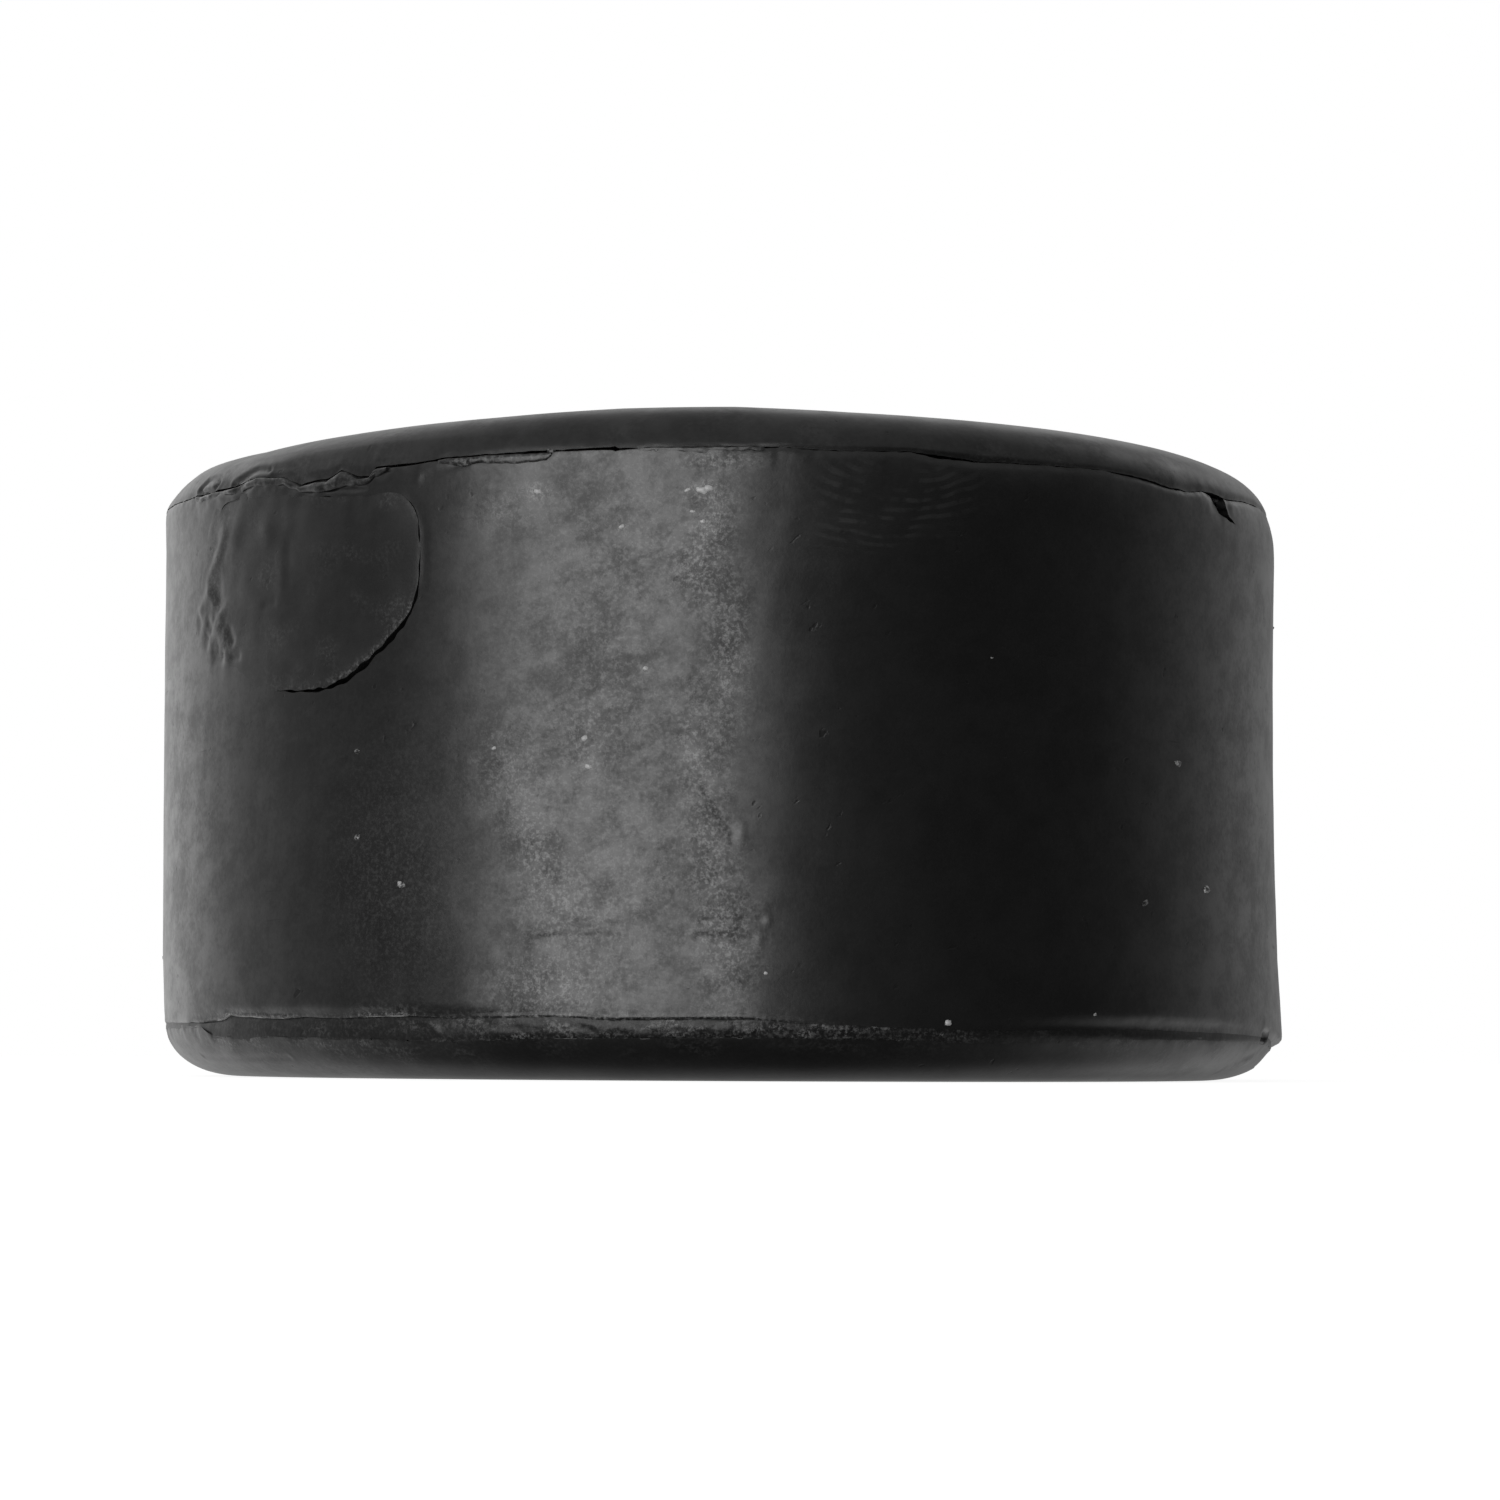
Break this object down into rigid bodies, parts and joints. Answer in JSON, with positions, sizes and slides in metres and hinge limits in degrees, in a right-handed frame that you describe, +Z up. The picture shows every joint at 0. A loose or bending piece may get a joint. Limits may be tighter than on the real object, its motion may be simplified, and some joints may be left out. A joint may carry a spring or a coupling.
{
  "type": "hockey puck",
  "caption": "Thick black rubber hockey puck, built up from a core drum with a rounded facing bonded to each end and a lapped patch let into its wall.",
  "frame": {"origin": "centre of the flat underside that the puck rests on", "axes": "+Z up along the puck's axis; -Y is the side seen in the picture, with the patch towards -X"},
  "size_m": [0.0767, 0.0765, 0.0413],
  "materials": {
    "wall_rubber": "satin, scuffed and finger-marked",
    "facing_rubber": "satin",
    "underside_rubber": "satin",
    "upper_ply_rubber": "matt, ragged rim",
    "lower_ply_rubber": "matt, ragged rim",
    "patch_rubber": "matt, faintly streaked"
  },
  "bodies": {
    "root": {"core": "wall_rubber", "top_facing": "facing_rubber", "bottom_facing": "underside_rubber", "upper_bonding_ply": "upper_ply_rubber", "lower_bonding_ply": "lower_ply_rubber", "wall_patch": "patch_rubber"}
  },
  "joints": []
}
